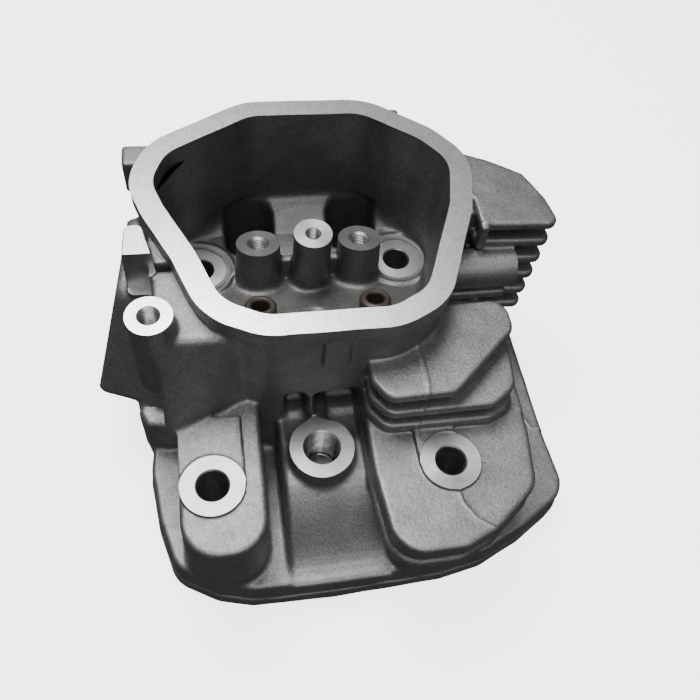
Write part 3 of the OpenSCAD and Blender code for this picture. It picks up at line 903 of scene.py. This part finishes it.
def regions():
    """The space each named piece of the casting takes, in cutting order."""
    def only(name, *prisms):
        t = Tool(name)
        for points, z0, z1 in prisms:
            t.prism(points, z0, z1, CAST)
        return name, t.build()

    def bar(name, at, axis, r, a, b):
        t = Tool(name)
        t.lathe([(r, a), (r, b)], at, axis, CAST, 64)
        return name, t.build()

    yield only("gasket_deck", (WIDE, -20, DECK + 1.4))
    for kind in VALVE_X:
        yield bar(kind + "_stud_boss", STUDS[kind], LEAN_AXIS, 10.0, -13.6, 4)
    x, y, z = COVER_BOSS
    yield bar("cover_boss", (x, y, 0), UP, 8.7, 48.5, 90)
    yield bar("outlet_boss", (0, *OUTLET_BOSS[1:]), RIGHTWARD, 8.7, 60.5, 83.4)
    yield bar("side_boss", (*SIDE_BOSS, 0), UP, 8.2, 61.5, 110)
    yield only("facet_lug", ([(-80, 14.6), (-80, 40), (-60.1, 40), (-54.6, 14.6)], 60, 110))
    yield only(
        "rear_lugs",
        ([(-80, 64), (-62.8, 64), (-54.0, 70.9), (-46, 76.1), (-46, 90), (-80, 90)], 70, 90.6),
        ([(28, 94), (28, 100), (46.5, 100), (46.5, 79.7), (30.2, 91.2)], 58, 90.6),
    )
    rest = expand(COVER_PLAN, 0.8, COVER_R)
    wall = expand(COVER_PLAN, 0.8 - OVERHANG, COVER_R)
    yield only("inside", (wall, -20, TOP - RIM_H - 0.4), (rest, TOP - RIM_H - 0.4, 120))
    step = [(26.4, 0), (110, 0), (110, 120), (14, 120), (14, 52.4), (26.4, 52.4)]
    t = Tool("rear_fins")
    t.grid([[(x, y, z) for y, z in step] for x in (30, 120)], Matrix(), CAST)
    yield "rear_fins", t.build()
    yield only(
        "exhaust_flange", ([(64.4, -34), (90, -34), (90, 26), (64.4, 26)], 0, 52.4)
    )
    yield only("front_fins", ([(8, -37.6), (120, -37.6), (120, 40), (8, 40)], 52.4, 120))
    yield only("right_pad", ([(13.9, -95), (120, -95), (120, 60), (13.9, 60)], 0, 120))
    yield only("plug_deck", ([(-18.5, -95), (30, -95), (30, 60), (-18.5, 60)], 0, 120))
    yield only("left_pad", (
        [(-70, -95), (0, -95), (0, -28), (-10, 10), (-70, 10), (-70, 4)], 0, 54.5
    ))
    yield only("side_ledge", ([(-61, -40), (0, -40), (0, 40), (-61, 40)], 57, 120))


def split(me):
    """The casting's mesh as one closed mesh per named piece."""
    made = {}
    for name, tool in regions():
        made[name] = boolean(me, tool, "INTERSECT")
        me = boolean(me, tool, "DIFFERENCE")
        if name == "inside":
            box = Tool("box")
            box.prism(WIDE, BOX_BOTTOM, 130, CAST)
            cut = box.build()
            made["rocker_box"] = boolean(made[name], cut, "INTERSECT")
            made["port_core"] = boolean(made[name], cut, "DIFFERENCE")
            bpy.data.objects.remove(cut)
            del made[name]
        bpy.data.objects.remove(tool)
    made["intake_flange"] = me
    return made


def drop_chips(me, least=1.5):
    """Without the skins, under so many cubic mm, that a cut can leave."""
    bm = bmesh.new()
    bm.from_mesh(me)
    bm.faces.ensure_lookup_table()
    seen, chips = set(), []
    for start in bm.faces:
        if start.index in seen:
            continue
        island, queue = [], [start]
        seen.add(start.index)
        while queue:
            f = queue.pop()
            island.append(f)
            for e in f.edges:
                for g in e.link_faces:
                    if g.index not in seen:
                        seen.add(g.index)
                        queue.append(g)
        volume = 0
        for f in island:
            a = f.verts[0].co
            for b, d in zip(f.verts[1:], f.verts[2:]):
                volume += a.dot(b.co.cross(d.co)) / 6
        if abs(volume) < least * MM**3:
            chips += island
    bmesh.ops.delete(bm, geom=chips, context="FACES")
    loose = [v for v in bm.verts if not v.link_faces]
    bmesh.ops.delete(bm, geom=loose, context="VERTS")
    bm.to_mesh(me)
    bm.free()
    return me


def place(name, me, slot, sharp=40):
    """Puts a mesh in the scene as the visible piece of a CAD node."""
    me.name = name
    me.shade_smooth()
    me.set_sharp_from_angle(angle=math.radians(sharp))
    bm = bmesh.new()
    bm.from_mesh(me)
    for e in bm.edges:
        if len({f.material_index for f in e.link_faces}) > 1:
            e.smooth = False
    bm.to_mesh(me)
    bm.free()
    o = bpy.data.objects.new(name + "_piece", me)
    bpy.context.scene.collection.objects.link(o)
    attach(o, BODY)
    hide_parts(name)
    return o


KEPT_FACES = 0.26
metal = cast_shape()
metal.materials.append(CAST)
metal = modified(metal, "DECIMATE", ratio=KEPT_FACES)
for cutter in (face_tools(), lug_tools(False), lug_tools(True), hole_tools()):
    metal = boolean(metal, cutter, "DIFFERENCE")
    bpy.data.objects.remove(cutter)
for name, me in split(metal).items():
    place(name, drop_chips(me), "cast_aluminium")


# ------------------------------------------------------- pressed-in parts
def finished(name, bm, finish):
    """A mesh in metres from one drawn in mm."""
    bmesh.ops.recalc_face_normals(bm, faces=bm.faces)
    me = bpy.data.meshes.new(name)
    bm.to_mesh(me)
    bm.free()
    me.transform(Matrix.Scale(MM, 4))
    me.materials.append(finish)
    return me


def ring_mesh(name, profile, at, axis, finish, n=96):
    """A closed ring turned from a closed profile of (radius, height)."""
    bm = bmesh.new()
    m = aim(at, axis)
    rows = []
    for i in range(n):
        a = 2 * math.pi * i / n
        rows.append([
            bm.verts.new(m @ Vector((r * math.cos(a), r * math.sin(a), h)))
            for r, h in profile
        ])
    k = len(profile)
    for i in range(n):
        a, b = rows[i], rows[(i + 1) % n]
        for j in range(k):
            bm.faces.new((a[j], a[(j + 1) % k], b[(j + 1) % k], b[j]))
    return finished(name, bm, finish)


def guide_profile():
    """A valve guide's section, with the groove for its clip."""
    r, top = GUIDE_R, GUIDE_LEN
    return [
        (STEM_R, 0.4), (STEM_R + 0.4, 0), (r - 0.8, 0), (r - 0.2, 1.4), (r, 2.2),
        (r, top - 10.4), (r - 0.7, top - 10.2), (r - 0.7, top - 9.0),
        (r, top - 8.8), (r, top - 1.1), (r - 0.15, top - 0.75), (r - 0.9, top - 0.1),
        (r - 1.2, top), (STEM_R + 0.75, top), (STEM_R + 0.5, top - 0.1),
        (STEM_R, top - 0.8),
    ]


def clip_mesh(name, at, axis, finish):
    """An open ring of round spring wire, ends turned out a little."""
    bm = bmesh.new()
    m = aim(at, axis)
    around, across, wire = 72, 12, 0.72
    rows = []
    for i in range(around + 1):
        u = i / around
        a = math.radians(30 + 300 * u)
        flare = max(0, abs(u - 0.5) - 0.46) / 0.04
        r = GUIDE_R + 0.12 + flare * 0.5
        row = []
        for j in range(across):
            b = 2 * math.pi * j / across
            rr = r + wire * math.cos(b)
            row.append(bm.verts.new(
                m @ Vector((rr * math.cos(a), rr * math.sin(a), wire * math.sin(b)))
            ))
        rows.append(row)
    for a, b in zip(rows, rows[1:]):
        for j in range(across):
            k = (j + 1) % across
            bm.faces.new((a[j], a[k], b[k], b[j]))
    bm.faces.new(rows[0])
    bm.faces.new(rows[-1])
    return finished(name, bm, finish)


SINTERED = plain_metal("sintered_iron", (0.04, 0.032, 0.028), (0.1, 0.08, 0.07), 0.5, 0.48)
SPRING = plain_metal("spring_steel", (0.2, 0.19, 0.18), (0.42, 0.41, 0.4), 0.9, 0.32, 0.8, 0.1)
GROUND = plain_metal("seat_iron", (0.4, 0.4, 0.4), (0.6, 0.6, 0.6), 1.0, 0.28, 0.5, 0.1)
for kind in VALVE_X:
    at = valve_point(kind, GUIDE_TOP - GUIDE_LEN)
    me = ring_mesh(kind + "_guide", guide_profile(), at, LEAN_AXIS, SINTERED)
    place(kind + "_guide", me, "sintered_iron", 25)
    at = valve_point(kind, GUIDE_TOP - 9.6)
    me = clip_mesh(kind + "_clip", at, LEAN_AXIS, SPRING)
    place(kind + "_clip", me, "spring_steel", 50)
    r = THROAT[kind]
    profile = [
        (r - 2, 2.9), (r - 1.6, 2.2), (r + 0.3, 0.3), (r + 0.8, 0), (r + 2.8, 0),
        (r + 3, 0.2), (r + 3, SEAT_DEEP - 0.3), (r + 2.7, SEAT_DEEP), (r - 2, SEAT_DEEP),
    ]
    me = ring_mesh(kind + "_seat", profile, valve_point(kind, 0), LEAN_AXIS, GROUND)
    place(kind + "_seat", me, "seat_iron", 25)


# --------------------------------------------------- floor, light and camera
LAMPS = (
    ("key", (-0.13, 0.29, 0.92), 0.5, 10.5),
    ("front", (0.02, -0.5, 0.95), 0.9, 5.2),
)
LIT_AT = Vector((0, 0, 0.06))
FLOOR_GLOW, SKY_GLOW = 3.0, 0.08
LENS, SENSOR = 38.06, 36.0
CAMERA_AT = (-0.034535, -0.152234, 0.29178)
CAMERA_RIGHT = Vector((0.9831, -0.1549, 0.0978))
CAMERA_AHEAD = Vector((0.1662, 0.5302, -0.8314))


def floor_and_light():
    """A pale floor that glows evenly, a dim sky and two round soft lamps."""
    bm = bmesh.new()
    bmesh.ops.create_grid(bm, x_segments=8, y_segments=8, size=3)
    me = bpy.data.meshes.new("floor")
    bm.to_mesh(me)
    bm.free()
    o = bpy.data.objects.new("floor", me)
    o.location.z = -0.0003
    m, t, shader, where = shade("pale_floor", (0.9, 0.9, 0.9), 0.0, 0.9)
    tone = ramp(t, noise(t, where, 400, 2), [(0.3, (0.9,)), (0.7, (0.93,))])
    t.links.new(tone, shader.inputs["Base Color"])
    shader.inputs["Specular IOR Level"].default_value = 0.1
    shader.inputs["Emission Color"].default_value = (1, 1, 1, 1)
    shader.inputs["Emission Strength"].default_value = FLOOR_GLOW
    me.materials.append(m)
    bpy.context.scene.collection.objects.link(o)
    o.visible_glossy = False
    o.visible_diffuse = False
    world = bpy.data.worlds.new("studio")
    world.use_nodes = True
    world.node_tree.nodes["Background"].inputs[0].default_value = (0.9, 0.95, 1, 1)
    world.node_tree.nodes["Background"].inputs[1].default_value = SKY_GLOW
    bpy.context.scene.world = world
    for name, place_at, size, power in LAMPS:
        lamp = bpy.data.lights.new(name, "AREA")
        lamp.shape, lamp.size, lamp.energy = "DISK", size, power
        lo = bpy.data.objects.new(name, lamp)
        lo.location = place_at
        lo.rotation_mode = "QUATERNION"
        lo.rotation_quaternion = (LIT_AT - Vector(place_at)).to_track_quat("-Z", "Y")
        bpy.context.scene.collection.objects.link(lo)


def camera():
    """The pinhole camera that was fitted to the photo."""
    data = bpy.data.cameras.new("camera")
    data.lens, data.sensor_width = LENS, SENSOR
    o = bpy.data.objects.new("camera", data)
    right = CAMERA_RIGHT.normalized()
    back = -CAMERA_AHEAD.normalized()
    up = back.cross(right).normalized()
    right = up.cross(back)
    turn = Matrix((right, up, back)).transposed()
    o.matrix_world = Matrix.Translation(CAMERA_AT) @ turn.to_4x4()
    bpy.context.scene.collection.objects.link(o)
    bpy.context.scene.camera = o


floor_and_light()
camera()
